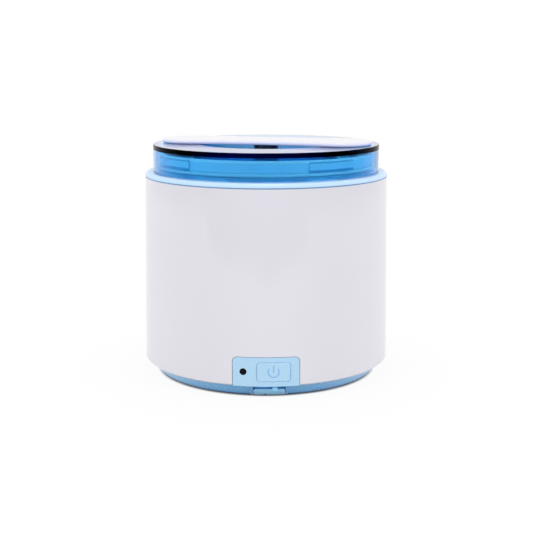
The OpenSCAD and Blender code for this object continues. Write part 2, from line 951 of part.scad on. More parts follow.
// Round cutter for one hollow side of the bar, which leaves the top edge rounded
module side_cutter() {
    rotate_extrude($fn = 480) {
        translate([0, -over])
            square([bar_side_r, bar_t + 2 * over]);
        difference() {
            translate([bar_side_r - eps, bar_t - bar_edge_r])
                square([bar_edge_r + eps, bar_edge_r + over]);
            translate([bar_side_r + bar_edge_r, bar_t - bar_edge_r])
                circle(bar_edge_r);
        }
    }
}

module handle_bar() {
    color("white")
        lid_frame() {
            difference() {
                translate([3 - bar_end_x, -bar_end_d / 2, lid_top])
                    cube([2 * bar_end_x - 6, bar_end_d, bar_t]);
                for (s = [-1, 1])
                    translate([0, s * (bar_waist / 2 + bar_side_r), lid_top])
                        side_cutter();
            }
            for (s = [-1, 1]) {
                translate([s * bar_end_x, 0, 0])
                    rotate_extrude()
                        cap_section(bar_end_d / 2, lid_top, lid_top + bar_t, bar_edge_r);
                translate([s * pin_x, 0, plate_z])
                    cylinder(d = pin_d, h = lid_plate + bar_t / 2);
            }
            tube(handle_screw_d / 2 + fit / 2, bar_boss_d / 2, dish_z + 0.5, lid_top + bar_t / 2);
        }
}

module handle_post() {
    color("dimgray")
        tube(bar_boss_d / 2 + fit, post_d / 2, dish_z, lid_top);
}

module handle_screw() {
    color("silver")
        translate([0, 0, dish_under])
            screw(handle_screw_d, dish_wall + dish_depth, 5.4, 1.6);
}

outer_shell();
base();
rubber_feet();
base_screws();
collar();
lid_seal();
tank();
tank_seal();
transducer_bond();
transducer_disc();
transducer_leads();
main_board();
board_screws();
drive_inductor();
filter_capacitors();
heat_sink();
power_transistor();
controller_chip();
lead_connector();
battery_holder();
battery_cells();
battery_tabs();
battery_leads();
button_board();
tact_switch();
indicator_led();
indicator_lens();
panel_ribbon();
charge_board();
charge_socket();
charge_leads();
button_cap();
port_cover();
lid_cover();
handle_bar();
handle_post();
handle_screw();
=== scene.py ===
import math

import bmesh
import bpy
from bmesh.types import BMEdge, BMVert
from bpy.props import FloatProperty, FloatVectorProperty, IntProperty, PointerProperty
from mathutils import Matrix, Vector


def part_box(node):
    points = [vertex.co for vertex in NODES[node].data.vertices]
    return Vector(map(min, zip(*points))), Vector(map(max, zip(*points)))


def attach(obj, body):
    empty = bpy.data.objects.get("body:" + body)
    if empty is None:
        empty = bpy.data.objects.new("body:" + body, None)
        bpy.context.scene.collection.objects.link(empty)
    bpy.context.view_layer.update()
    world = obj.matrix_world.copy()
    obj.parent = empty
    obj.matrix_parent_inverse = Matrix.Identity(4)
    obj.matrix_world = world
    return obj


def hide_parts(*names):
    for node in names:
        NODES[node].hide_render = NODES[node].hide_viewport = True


bl_info = {
    "name": "Round Ultrasonic Cleaner",
    "version": (1, 0, 0),
    "blender": (4, 5, 0),
    "location": "View3D > Sidebar > Cleaner",
    "description": "Gives a small ultrasonic cleaner its finishes and fine pieces, and lights it",
    "category": "Object",
}

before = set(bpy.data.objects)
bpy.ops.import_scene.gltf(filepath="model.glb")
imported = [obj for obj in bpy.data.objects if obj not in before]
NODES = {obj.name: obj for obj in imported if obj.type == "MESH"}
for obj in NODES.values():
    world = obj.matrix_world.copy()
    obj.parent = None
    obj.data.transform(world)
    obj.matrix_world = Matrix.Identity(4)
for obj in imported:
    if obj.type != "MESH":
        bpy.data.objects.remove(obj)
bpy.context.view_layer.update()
MM = 0.001
LAP = 0.1 * MM  # width of the blend where a zone of a finish starts
WELD = 1e-7  # vertices that are nearer than this become one
SHARP = math.radians(35)  # edges that are steeper than this stay sharp


def tint(red, green, blue):
    """Linear colour of a display colour given in 0 to 255."""
    return tuple(
        c / 12.92 if c <= 0.04045 else ((c + 0.055) / 1.055) ** 2.4
        for c in (red / 255, green / 255, blue / 255)
    )


def colour(name, description, *display):
    """A colour that a user may change, given as a display colour."""
    return FloatVectorProperty(
        name=name, description=description, default=tint(*display), subtype="COLOR", min=0, max=1
    )


def number(name, description, value, **limits):
    """A number that a user may change."""
    return FloatProperty(name=name, description=description, default=value, **limits)


def length(name, description, millimetres):
    """A length that a user may change, given in millimetres."""
    return number(name, description, millimetres * MM, unit="LENGTH", min=0, precision=5)


def bearing(name, description, degrees):
    """An angle that a user may change, given in degrees."""
    return number(name, description, math.radians(degrees), subtype="ANGLE")


class CleanerColours(bpy.types.PropertyGroup):
    """Colours of the finishes that show from outside."""

    sleeve: colour("Sleeve", "Glossy white of the sleeve", 225, 223, 231)
    mouldings: colour("Mouldings", "Light blue of the panel and the button", 176, 214, 241)
    bar: colour("Bar", "White of the handle's bar", 220, 218, 227)
    # The bar's blue-tinted edge colour is a painted reflection of the blue lid.
    bar_edge_painted_reflection: colour("Bar edge", "White of the bar's edge, beside the blue lid", 226, 226, 250)
    # The fuller blue below the sleeve is painted shade of the base's downward-facing band.
    base_edge_painted_shade: colour("Base edge", "Fuller blue of the base below the sleeve", 100, 190, 249)
    # The port boss's blue is painted shade, so its lit walls match the shaded band beside them.
    port_boss_painted_shade: colour("Port boss", "Blue of the boss round the port", 112, 166, 212)
    collar: colour("Collar", "Paler blue of the collar", 188, 218, 249)
    seam: colour("Seam", "Shaded blue of the groove under the collar", 118, 160, 202)
    # The neck's paler blue is painted light, making up for the light the tinted lid takes.
    neck: colour("Neck", "Palest blue of the neck inside the lid", 224, 243, 254)
    # The near white along the neck's upper edge is a painted highlight.
    neck_lip_painted_highlight: colour("Neck lip", "Near white of the neck's upper edge", 253, 254, 255)
    neck_foot: colour("Neck foot", "Shaded blue of the neck below the sealing ring", 160, 194, 216)
    # The lugs' lower and upper edge colours are painted shade.
    lug_foot_painted_shade: colour("Lug foot", "Blue of the lugs' lower edges", 142, 190, 224)
    lug_top_painted_shade: colour("Lug top", "Greyer blue of the lugs' upper edges", 186, 204, 222)
    mark: colour("Mark", "Darker blue of the mark on the button", 136, 182, 228)
    # The ring's darker blue is painted shade of the groove round the button.
    ring: colour("Ring", "Darker blue of the soft ring round the button", 138, 184, 224)
    lens: colour("Lens", "Black of the indicator's lens", 5, 6, 11)
    lid_passes: colour("Lid passes", "Colour that the lid's plastic lets through", 0, 222, 254)
    lid_density: number("Lid density", "Strength of the lid's tint for each metre", 556, min=0)
    # The rim's dark tint is painted shade for the darkness its thick edge shows.
    lid_rim_painted_shade: colour("Lid rim", "What the lid's thick rim lets through", 32, 17, 12)
    lid_dish: colour("Lid dish", "Milky blue of the lid's finger dish", 150, 214, 255)
    port_rubber: colour("Port rubber", "Blue rubber of the port's cover", 148, 202, 238)
    foot_rubber: colour("Foot rubber", "Dark rubber of the feet", 52, 54, 58)
    post: colour("Post", "Dark plastic of the handle's post", 26, 36, 56)
    silicone: colour("Silicone", "Milky silicone of the sealing rings", 250, 252, 253)
    steel: colour("Steel", "Tank's stainless steel", 196, 195, 193)


class CleanerSizes(bpy.types.PropertyGroup):
    """Sizes of the pieces made here and of zones in the finishes."""

    sleeve_r: length("Sleeve radius", "Radius of the sleeve at its upper edge", 55)
    sleeve_draft: length("Sleeve draft", "How much wider it is at its lower edge", 1.25)
    seam: length("Seam height", "How far the groove reaches above the sleeve", 0.4)
    # The neck's near white edge is a painted highlight.
    lip: length("Lip height", "Height of the neck's near white edge", 1.3)
    # The lugs' zone carries painted shade along their edges.
    lug_step: length("Lug step", "How far inside the lid's edge the lugs' zone starts", 2.6)
    boss_cone: length("Boss cone", "Floor radius of the cone that bounds the port's boss", 49.1)
    # The lid's dark rim is a zone of painted shade.
    rim_height: length("Rim height", "Height of the lid's dark rim", 2.25)
    rim_skin: length("Rim skin", "Thickness of the lid's dark rim", 0.4)
    dish_r: length("Dish radius", "Radius of the lid's milky dish", 31.2)
    bar_end_r: length("Bar end radius", "Radius of the circle of the bar's ends", 48.3)
    bar_waist: length("Bar waist", "Width of the bar at its middle", 24.4)
    bar_side_r: length("Bar side radius", "Radius of the bar's hollow sides", 170)
    bar_thickness: length("Bar thickness", "Thickness of the bar", 1.8)
    bar_corner_r: length("Bar corner radius", "Radius of the bar's corners, seen from above", 13.5)
    bar_edge_r: length("Bar edge radius", "Rounding of the bar's top edges", 0.7)
    bar_foot_r: length("Bar foot radius", "Rounding of the bar's lower edges", 1)
    # Above this height the bar's own white shows; below it lies the painted reflection of the lid.
    bar_top: length("Bar top", "Height of the zone with the top's white", 0.4)
    bar_turn: bearing("Bar turn", "Turn of the lid about its axis", -14.5)
    pin_d: length("Pin diameter", "Diameter of the bar's locating pins", 4)
    pin_x: length("Pin place", "Distance of a locating pin from the axis", 40.55)
    boss_d: length("Boss diameter", "Diameter of the screw boss under the bar", 4.4)
    boss_bore_d: length("Boss bore", "Diameter of the hole in the screw boss", 2.5)
    boss_drop: length("Boss drop", "How far the screw boss reaches below the bar", 7)
    button_proud: length("Button height", "How far the button stands out from the sleeve", 0.2)
    button_lip: length("Button lip", "How far the button's hidden lip reaches past its face", 1)
    mark_r: length("Mark radius", "Radius of the middle of the mark's ring", 2.3)
    mark_gap: bearing("Mark gap", "Half of the opening in the mark's ring", 54)
    mark_line: length("Mark line", "Width of the mark's lines", 0.5)
    mark_stroke: length("Mark stroke", "Length of the mark's upright line", 2.9)
    mark_stroke_up: length("Stroke place", "How far its middle is above the ring's", 1.15)
    mark_up: length("Mark place", "How far the ring's middle is above the button's", 0.1)
    mark_proud: length("Mark height", "How far the mark stands out from the button", 0.03)
    # The soft ring is a sheet of painted shade in the groove round the button.
    ring_line: length("Ring line", "Width of the soft ring round the button", 0.18)
    ring_play: length("Ring play", "Play between the button and the soft ring", 0.01)
    ring_corner_r: length("Ring corner radius", "Radius of the soft ring's corners", 1.49)
    ring_deep: length("Ring depth", "How far the soft ring lies below the panel's face", 0.12)
    ring_back: length("Ring back", "How far its back lies below the panel's face", 0.6)


class CleanerStudio(bpy.types.PropertyGroup):
    """Camera, light and floor."""

    camera_x: length("Camera x", "Camera's place to the right of the axis", 0.18)
    camera_back: length("Camera distance", "Camera's distance in front of the axis", 501.87)
    camera_up: length("Camera height", "Camera's height above the floor", 145.757)
    camera_dip: bearing("Camera dip", "How far the camera looks down", 11.15)
    camera_lens: number("Focal length", "Focal length in millimetres", 74.19, min=1)
    sky: number("Sky", "Strength of the light from all round", 0.6, min=0)
    overhead: number("Overhead", "Power of the overhead softbox", 1.3, min=0, unit="POWER")
    sides: number("Sides", "Power of each softbox at the front's sides", 13.6, min=0, unit="POWER")
    back: number("Back", "Power of the softbox behind the object", 14, min=0, unit="POWER")
    floor_grey: number("Floor grey", "How much light the floor throws back", 0.35, min=0, max=1)
    floor_matt: number("Floor matt", "How light the floor's shadow shows", 0.6, min=0, max=1)
    floor_glow: number("Floor glow", "Share of plain white beside the object", 0.95, min=0, max=1)
    shadow_r: length("Shadow radius", "Where the dark floor under the object ends", 49)
    shadow_end: length("Shadow end", "Where the floor beside the object starts", 51)
    fade_r: length("Fade radius", "Where the floor starts to fade to white", 55)
    fade_end: length("Fade end", "Where the floor is plain white", 100)


def settings(context):
    """The three groups of settings."""
    scene = context.scene
    return scene.cleaner_colours, scene.cleaner_sizes, scene.cleaner_studio


def shade(rgb, share):
    """A colour made lighter or darker by a share of itself."""
    return tuple(min(1.0, c * share) for c in rgb)


class Net:
    """The nodes of a material or of the world, on Object coordinates."""

    def __init__(self, owner, output):
        owner.use_nodes = True
        self.tree = owner.node_tree
        self.tree.nodes.clear()
        self.output = self.node(output)
        self.coordinates = self.node("ShaderNodeTexCoord").outputs["Object"]

    def node(self, kind, **inputs):
        """A new node, with inputs set by name to sockets or plain values."""
        made = self.tree.nodes.new(kind)
        for name, value in inputs.items():
            self.feed(value, made.inputs[name])
        return made

    def feed(self, value, target):
        """Links a socket, or sets a plain value."""
        if isinstance(value, bpy.types.NodeSocket):
            self.tree.links.new(value, target)
        else:
            target.default_value = value

    def show(self, source, slot="Surface"):
        """Links what the tree puts out."""
        self.feed(source, self.output.inputs[slot])

    def between(self, factor, low, high, start=0.35, end=0.65):
        """A number that goes from low to high as the factor goes from start to end."""
        ends = {"From Min": start, "From Max": end, "To Min": low, "To Max": high}
        return self.node("ShaderNodeMapRange", Value=factor, **ends).outputs["Result"]

    def maths(self, operation, first, second=0.0):
        made = self.node("ShaderNodeMath")
        made.operation = operation
        for slot, value in enumerate((first, second)):
            self.feed(value, made.inputs[slot])
        return made.outputs["Value"]

    def vector(self, operation, source):
        """What a sum on a vector puts out."""
        made = self.node("ShaderNodeVectorMath", Vector=source)
        made.operation = operation
        return made.outputs

    def axes(self, source=None):
        """The three numbers of the Object coordinates or of another vector."""
        made = self.node("ShaderNodeSeparateXYZ", Vector=source or self.coordinates)
        return made.outputs["X"], made.outputs["Y"], made.outputs["Z"]


class Finish(Net):
    """A procedural finish, built round one Principled shader."""

    def __init__(self, name, **sockets):
        self.material = bpy.data.materials.new(name)
        super().__init__(self.material, "ShaderNodeOutputMaterial")
        self.shader = self.node("ShaderNodeBsdfPrincipled")
        self.show(self.shader.outputs["BSDF"])
        for socket, value in sockets.items():
            self.wire(socket.replace("_", " "), value)

    def wire(self, socket, value):
        """Links or sets an input of the shader."""
        self.feed(value, self.shader.inputs[socket])
        return self

    def base(self, value):
        return self.wire("Base Color", value)

    def gloss(self, value):
        return self.wire("Roughness", value)

    def mottled(self, noise, rgb, dark, light, roughness, spread):
        """Two shades of a colour and a spread of roughness, by one noise."""
        self.base(self.blend(self.between(noise, 0, 1), shade(rgb, dark), shade(rgb, light)))
        return self.gloss(self.between(noise, roughness - spread, roughness + spread))

    def bump(self, height, depth, strength=1.0):
        """Surface relief of that depth in metres."""
        made = self.node("ShaderNodeBump", Height=height, Strength=strength, Distance=depth)
        return self.wire("Normal", made.outputs["Normal"])

    def stretched(self, x, y, z):
        """Object coordinates scaled by axis, for grain that runs one way."""
        return self.node("ShaderNodeMapping", Vector=self.coordinates, Scale=(x, y, z)).outputs["Vector"]

    def noise(self, grain, detail=2.0, source=None):
        """Noise whose grains are about that many metres across."""
        source = source or self.coordinates
        return self.node("ShaderNodeTexNoise", Vector=source, Scale=1 / grain, Detail=detail).outputs["Fac"]

    def blend(self, factor, first, second):
        """A colour between two, plain or linked."""
        made = self.node("ShaderNodeMix")
        made.data_type = "RGBA"
        self.feed(factor, made.inputs["Factor"])
        for name, value in (("A", first), ("B", second)):
            socket = next(s for s in made.inputs if s.name == name and s.type == "RGBA")
            self.feed(value if isinstance(value, bpy.types.NodeSocket) else (*value, 1.0), socket)
        return next(s for s in made.outputs if s.type == "RGBA")

    def radius(self):
        """Distance from the upright axis."""
        x, y, _ = self.axes()
        level = self.node("ShaderNodeCombineXYZ", X=x, Y=y).outputs["Vector"]
        return self.vector("LENGTH", level)["Value"]

    def past(self, value, limit, blend=LAP):
        """One where a length is over a limit, else nought."""
        return self.between(value, 0, 1, limit, limit + blend)

    def above(self, height, blend=LAP):
        """One above a height, else nought."""
        return self.past(self.axes()[2], height, blend)

    def beside(self, reach):
        """One farther than that to a side, else nought."""
        return self.past(self.maths("ABSOLUTE", self.axes()[0]), reach)


def over(height):
    """The zone of a finish that lies above a height."""
    return lambda made: made.above(height)


def moulded(name, rgb, roughness, mottle=0.012, grain=1.2 * MM, relief=0.0015 * MM, zones=(), **sockets):
    """Moulded plastic with faint mottling, an uneven skin and other colours in zones, some of which hold
    painted light and shade.
    """
    made = Finish(name, **sockets)
    melt = made.noise(30 * MM, 3.0)
    skin = made.noise(grain)
    body = made.blend(made.between(melt, 0, 1), shade(rgb, 1 - mottle), shade(rgb, 1 + mottle))
    for zone, other in zones:
        body = made.blend(zone(made), body, other)
    made.base(body)
    made.gloss(made.between(skin, roughness * 0.9, roughness * 1.1))
    return made.bump(skin, relief).material


def rubbery(name, rgb, roughness=0.62):
    """Moulded rubber with a fine spark-eroded grain."""
    made = Finish(name, Specular_IOR_Level=0.35)
    made.mottled(made.noise(6 * MM), rgb, 0.95, 1.05, roughness, 0.06)
    return made.bump(made.noise(0.25 * MM, 3.0), 0.012 * MM, 0.6).material


def tinted_plastic(name, colours, sizes):
    """Clear plastic, tinted through its thickness, with a dark filter of painted shade on its plate's rim and
    milky in its dish.
    """
    made = Finish(name, Coat_Roughness=0.01)
    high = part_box("lid_cover")[1]
    plate = made.above(high.z - sizes.rim_height, 1.5 * LAP)
    rim = made.maths("MULTIPLY", plate, made.past(made.radius(), high.x - sizes.rim_skin))
    dish = made.between(made.radius(), 1, 0, sizes.dish_r, sizes.dish_r + 2 * LAP)
    # A dark filter on the rim: painted shade for the look along the plate's thick edge.
    clear = made.blend(rim, (1.0, 1.0, 1.0), colours.lid_rim_painted_shade)
    made.base(made.blend(dish, clear, colours.lid_dish))
    # Input of the shader, zone, value outside the zone, value in it
    for socket, zone, outside, inside in (
        ("Transmission Weight", dish, 1, 0.6),
        ("IOR", rim, 1.27, 1.1),
        ("Coat Weight", rim, 0.5, 0),
    ):
        made.wire(socket, made.between(zone, outside, inside, 0, 1))
    ripple = made.noise(9 * MM)
    made.gloss(made.between(ripple, 0.008, 0.02))
    made.bump(ripple, 0.01 * MM, 0.15)
    passes = (*colours.lid_passes, 1.0)
    tinted = made.node("ShaderNodeVolumeAbsorption", Color=passes, Density=colours.lid_density)
    made.show(tinted.outputs["Volume"], "Volume")
    return made.material


def silicone(name, rgb):
    """Milky silicone with dust-fine bloom."""
    made = Finish(name, Transmission_Weight=0.03, IOR=1.41)
    made.mottled(made.noise(4 * MM, 3.0), rgb, 0.97, 1, 0.4, 0.06)
    return made.bump(made.noise(0.4 * MM), 0.006 * MM, 0.5).material


def drawn_steel(name, rgb, roughness=0.3):
    """Deep-drawn stainless steel, polished round its axis."""
    made = Finish(name, Metallic=1.0, Anisotropic=0.4)
    around = made.node("ShaderNodeCombineXYZ", X=made.radius(), Y=made.axes()[2])
    lines = made.noise(0.22 * MM, 3.0, around.outputs["Vector"])
    haze = made.noise(12 * MM)
    made.base(made.blend(made.between(lines, 0, 1), shade(rgb, 0.93), rgb))
    made.gloss(made.between(haze, roughness - 0.05, roughness + 0.05))
    return made.bump(lines, 0.008 * MM, 0.5).material


def metal(name, rgb, roughness, stretch=(1, 1, 1), grain=0.5 * MM):
    """Plain metal with grain along one axis."""
    made = Finish(name, Metallic=1.0)
    lines = made.noise(grain, 3.0, made.stretched(*stretch))
    return made.mottled(lines, rgb, 0.88, 1, roughness, 0.07).bump(lines, 0.008 * MM, 0.5).material


def circuit_board(name):
    """Green solder mask over a net of copper, with tinned spots."""
    made = Finish(name, Coat_Weight=0.3)
    net = made.node(
        "ShaderNodeTexBrick", Vector=made.coordinates, Color1=(*tint(20, 82, 46), 1),
        Color2=(*tint(24, 92, 52), 1), Mortar=(*tint(58, 128, 74), 1), Scale=60.0,
        **{"Mortar Size": 0.035, "Brick Width": 0.5, "Row Height": 0.25},
    )
    cells = made.node("ShaderNodeTexVoronoi", Vector=made.coordinates, Scale=260.0)
    spots = made.between(cells.outputs["Distance"], 1, 0, 0.2, 0.24)
    made.base(made.blend(spots, net.outputs["Color"], tint(198, 196, 188)))
    made.gloss(made.between(spots, 0.42, 0.3, 0, 1))
    return made.bump(net.outputs["Fac"], 0.02 * MM, 0.4).material


def potted(name, rgb, roughness=0.4):
    """Cast or cured resin with small sags and bubbles."""
    made = Finish(name)
    sags = made.noise(3 * MM, 3.0)
    return made.mottled(sags, rgb, 0.9, 1.06, roughness, 0.1).bump(sags, 0.05 * MM, 0.6).material


def fired_ceramic(name):
    """Ceramic disc with burnished silver on its faces and bare grey at its rim."""
    made = Finish(name)
    low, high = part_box("transducer_disc")
    middle, half = (low.z + high.z) / 2, (high.z - low.z) / 2
    height = made.maths("ABSOLUTE", made.maths("SUBTRACT", made.axes()[2], middle))
    faces = made.between(height, 0, 1, half * 0.9, half * 0.96)
    grain = made.noise(0.4 * MM, 3.0)
    silver = made.blend(grain, tint(176, 174, 168), tint(214, 212, 206))
    made.base(made.blend(faces, tint(120, 112, 98), silver))
    made.wire("Metallic", faces)
    made.gloss(made.between(grain, 0.34, 0.5))
    return made.bump(grain, 0.015 * MM, 0.5).material


def sleeved_can(name):
    """Capacitor in a dark sleeve with a pale stripe, and bare aluminium on its top."""
    made = Finish(name)
    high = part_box("filter_capacitors")[1]
    stripe, bare = made.beside(high.x - 0.9 * MM), made.above(high.z - 0.5 * MM)
    film = made.noise(2 * MM)
    dark = made.blend(film, tint(18, 28, 62), tint(24, 36, 74))
    sleeve = made.blend(stripe, dark, tint(196, 200, 206))
    made.base(made.blend(bare, sleeve, tint(202, 203, 205)))
    made.wire("Metallic", bare)
    made.gloss(made.between(film, 0.22, 0.34))
    return made.bump(film, 0.02 * MM, 0.4).material


def wrapped_cell(name):
    """Cell in a shrunk film, with bare nickelled ends."""
    made = Finish(name)
    bare = made.beside(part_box("battery_cells")[1].x - 0.35 * MM)
    film = made.noise(1.5 * MM, 3.0, made.stretched(0.2, 1, 1))
    blue = made.blend(film, tint(52, 104, 158), tint(64, 118, 172))
    made.base(made.blend(bare, blue, tint(186, 184, 178)))
    made.wire("Metallic", bare)
    made.gloss(made.between(film, 0.24, 0.36))
    return made.bump(film, 0.02 * MM, 0.5).material


def flat_ribbon(name, pitch=1.27 * MM):
    """Grey ribbon cable with its parallel wires showing as ridges."""
    made = Finish(name)
    wires = made.maths("SINE", made.maths("MULTIPLY", made.axes()[0], 2 * math.pi / pitch))
    made.base(made.blend(made.between(wires, 0, 1, -1, 1), tint(128, 130, 134), tint(168, 170, 173)))
    made.gloss(made.between(made.noise(2 * MM), 0.45, 0.55))
    return made.bump(wires, 0.1 * MM, 0.6).material


def leads(name):
    """Insulated wire, red in some places and black in others."""
    made = Finish(name)
    hue = made.noise(12 * MM, 0.0)
    skin = made.noise(0.6 * MM)
    made.base(made.blend(made.between(hue, 0, 1, 0.49, 0.51), tint(30, 30, 32), tint(168, 26, 26)))
    made.gloss(made.between(skin, 0.36, 0.46))
    return made.bump(skin, 0.01 * MM, 0.5).material


def dress(finish, *names):
    """Puts a finish on CAD nodes."""
    for name in names:
        slots = NODES[name].data.materials
        for index in range(len(slots)):
            slots[index] = finish


def only(kind, geometry):
    """The items of one kind in an operator's geometry."""
    return [item for item in geometry if isinstance(item, kind)]


def turn(bm, verts, angle, axis):
    """Turns vertices about an axis through the origin."""
    bmesh.ops.rotate(bm, cent=(0, 0, 0), matrix=Matrix.Rotation(angle, 3, axis), verts=verts)


def lathe(bm, profile, steps=32, about=(0, 0, 0)):
    """Turns a profile of (radius, height) points about an upright axis."""
    rim = [bm.verts.new(Vector(about) + Vector((r, 0, z))) for r, z in profile]
    line = [bm.edges.new(pair) for pair in zip(rim, rim[1:])]
    bmesh.ops.spin(
        bm, geom=rim + line, cent=about, axis=(0, 0, 1), angle=2 * math.pi, steps=steps, use_merge=True
    )


def wrap(bm, sizes, back, front):
    """Lays a flat mesh round the sleeve's front, solid between two distances out from it."""
    raised = bmesh.ops.extrude_face_region(bm, geom=bm.faces[:], use_keep_orig=True)["geom"]
    ahead = set(only(BMVert, raised))
    low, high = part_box("outer_shell")
    for v in bm.verts:
        radius = sizes.sleeve_r + sizes.sleeve_draft * (high.z - v.co.z) / (high.z - low.z)
        v.co.y = -math.sqrt((radius + (front if v in ahead else back)) ** 2 - v.co.x**2)


def close_up(bm):
    """Merges doubles, then turns every face outwards."""
    bmesh.ops.remove_doubles(bm, verts=bm.verts, dist=WELD)
    bmesh.ops.recalc_face_normals(bm, faces=bm.faces)


def piece(name, bm, body, finish, replaces=()):
    """Makes a finished mesh a piece of the object."""
    close_up(bm)
    mesh = bpy.data.meshes.new(name)
    bm.to_mesh(mesh)
    bm.free()
    mesh.shade_smooth()
    mesh.set_sharp_from_angle(angle=SHARP)
    mesh.materials.append(finish)
    made = bpy.data.objects.new(name, mesh)
    bpy.context.scene.collection.objects.link(made)
    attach(made, body)
    if replaces:
        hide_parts(*replaces)
    return made


class CLEANER_OT_sleeve(bpy.types.Operator):
    """Gives the sleeve its glossy white finish"""

    bl_idname = "cleaner.sleeve"
    bl_label = "Sleeve"

    def execute(self, context):
        colours, _, _ = settings(context)
        dress(moulded("glossy_white", colours.sleeve, 0.11, mottle=0.004), "outer_shell")
        return {"FINISHED"}


class CLEANER_OT_mouldings(bpy.types.Operator):
    """Gives the base, collar and button their light blue plastic"""

    bl_idname = "cleaner.mouldings"
    bl_label = "Blue mouldings"

    def on_lugs(self, sizes, low, high):
        """The zone of the neck's lugs between two heights above the seal in millimetres, where painted shade
        lines their edges.
        """
        seal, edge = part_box("lid_seal")[1].z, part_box("lid_cover")[1].x

        def zone(made):
            band = made.maths("SUBTRACT", made.above(seal + low * MM), made.above(seal + high * MM))
            return made.maths("MULTIPLY", made.past(made.radius(), edge - sizes.lug_step), band)

        return zone

    def execute(self, context):
        colours, sizes, _ = settings(context)

        # Mask of the port boss's walls, which get painted shade.
        def boss(made):
            cone = made.maths("SUBTRACT", made.radius(), made.axes()[2])
            return made.past(cone, sizes.boss_cone)

        dress(moulded("light_blue", colours.mouldings, 0.26), "button_cap")
        # Below the sleeve's foot the base is painted a darker, fuller blue, and its port's boss another blue,
        # both painted shade; above the foot it has the panel's own blue.
        foot, top = (corner.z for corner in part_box("outer_shell"))
        parts = ((boss, colours.port_boss_painted_shade), (over(foot), colours.mouldings))
        dress(moulded("base_blue", colours.base_edge_painted_shade, 0.26, zones=parts), "base")
        rim, seal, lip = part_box("lid_cover")[0].z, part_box("lid_seal")[0].z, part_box("collar")[1].z
        # Bands up the collar: painted shade in the groove, its own blue, painted shade on the neck below the
        # seal, the neck painted lighter to make up for the light the lid takes, a painted highlight on its
        # upper edge, and painted shade along the lugs' lower and upper edges.
        bands = (
            (over(top - LAP), colours.seam),
            (over(top + sizes.seam), colours.collar),
            (over(rim - 1.5 * LAP), colours.neck_foot),
            (over(seal - LAP), colours.neck),
            (over(lip - sizes.lip), colours.neck_lip_painted_highlight),
            (self.on_lugs(sizes, 0.1, 1.1), colours.lug_foot_painted_shade),
            (self.on_lugs(sizes, 3.8, 4.4), colours.lug_top_painted_shade),
        )
        dress(moulded("pale_blue", colours.collar, 0.2, zones=bands), "collar")
        return {"FINISHED"}


class CLEANER_OT_lid(bpy.types.Operator):
    """Gives the lid its tinted clear plastic, and the sealing rings their silicone"""

    bl_idname = "cleaner.lid"
    bl_label = "Lid and seals"

    def execute(self, context):
        colours, sizes, _ = settings(context)
        dress(tinted_plastic("tinted_lid", colours, sizes), "lid_cover")
        dress(silicone("milky_silicone", colours.silicone), "lid_seal", "tank_seal")
        return {"FINISHED"}


class CLEANER_OT_handle(bpy.types.Operator):
    """Makes the handle's bar with its rounded corners, and dresses its post"""

    bl_idname = "cleaner.handle"
    bl_label = "Handle"

    def outline(self, bm, sizes):
        """A quarter of the bar's outline, as three arcs that touch."""
        side = Vector((0, sizes.bar_waist / 2 + sizes.bar_side_r, 0))
        inner, outer = sizes.bar_end_r - sizes.bar_corner_r, sizes.bar_side_r + sizes.bar_corner_r
        y = (inner**2 + side.y**2 - outer**2) / (2 * side.y)
        corner = Vector((math.sqrt(inner**2 - y**2), y, 0))
        lean, tip = math.atan2(corner.x, side.y - corner.y), math.atan2(corner.y, corner.x)
        # Centre, angle and steps of each arc
        arcs = (
            (side, lean, 24),
            (corner, -(math.pi / 2 + lean - tip), 10),
            (Vector(), -tip, 14),
        )
        here = [bm.verts.new((0, sizes.bar_waist / 2, 0))]
        for centre, angle, steps in arcs:
            turned = bmesh.ops.spin(bm, geom=here, cent=centre, axis=(0, 0, 1), angle=angle, steps=steps)
            here = only(BMVert, turned["geom_last"])

    def execute(self, context):
        colours, sizes, _ = settings(context)
        low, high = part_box("handle_bar")
        seat = high.z - sizes.bar_thickness
        bm = bmesh.new()
        self.outline(bm, sizes)
        for axis in ("X", "Y"):
            bmesh.ops.mirror(bm, geom=bm.verts[:] + bm.edges[:], axis=axis, merge_dist=WELD)
        bmesh.ops.remove_doubles(bm, verts=bm.verts, dist=10 * WELD)
        face = bmesh.ops.contextual_create(bm, geom=bm.edges[:])["faces"]
        raised = bmesh.ops.extrude_face_region(bm, geom=face, use_keep_orig=True)["geom"]
        bmesh.ops.translate(bm, vec=(0, 0, sizes.bar_thickness), verts=only(BMVert, raised))
        rim = only(BMEdge, raised)
        foot = [e for e in bm.edges if max(v.co.z for v in e.verts) < sizes.bar_edge_r / 2]
        for edges, radius in ((rim, sizes.bar_edge_r), (foot, sizes.bar_foot_r)):
            bmesh.ops.bevel(
                bm, geom=edges, offset=radius, offset_type="OFFSET", affect="EDGES", segments=5, profile=0.5,
                material=-1,
            )
        pin, drop = sizes.pin_d / 2, low.z - seat
        for x in (-sizes.pin_x, sizes.pin_x):
            lathe(bm, [(0, drop), (pin, drop), (pin, 0), (0, 0)], 32, (x, 0, 0))
        bore, boss, drop = sizes.boss_bore_d / 2, sizes.boss_d / 2, -sizes.boss_drop
        lathe(bm, [(bore, 0), (bore, drop), (boss, drop), (boss, 0), (bore, 0)])
        bmesh.ops.translate(bm, vec=(0, 0, seat), verts=bm.verts)
        turn(bm, bm.verts, sizes.bar_turn, "Z")
        # Below its top the bar takes the blue-tinted edge colour, a painted reflection of the blue lid; its
        # top has the bar's own white.
        top = (over(high.z - sizes.bar_top), colours.bar)
        white = moulded("bar_white", colours.bar_edge_painted_reflection, 0.14, mottle=0.004, zones=(top,))
        bar = piece("bridge_bar", bm, "lid", white, ["handle_bar"])
        bar.modifiers.new("even_shading", "WEIGHTED_NORMAL").keep_sharp = True
        dress(moulded("dark_post", colours.post, 0.3), "handle_post")
        return {"FINISHED"}


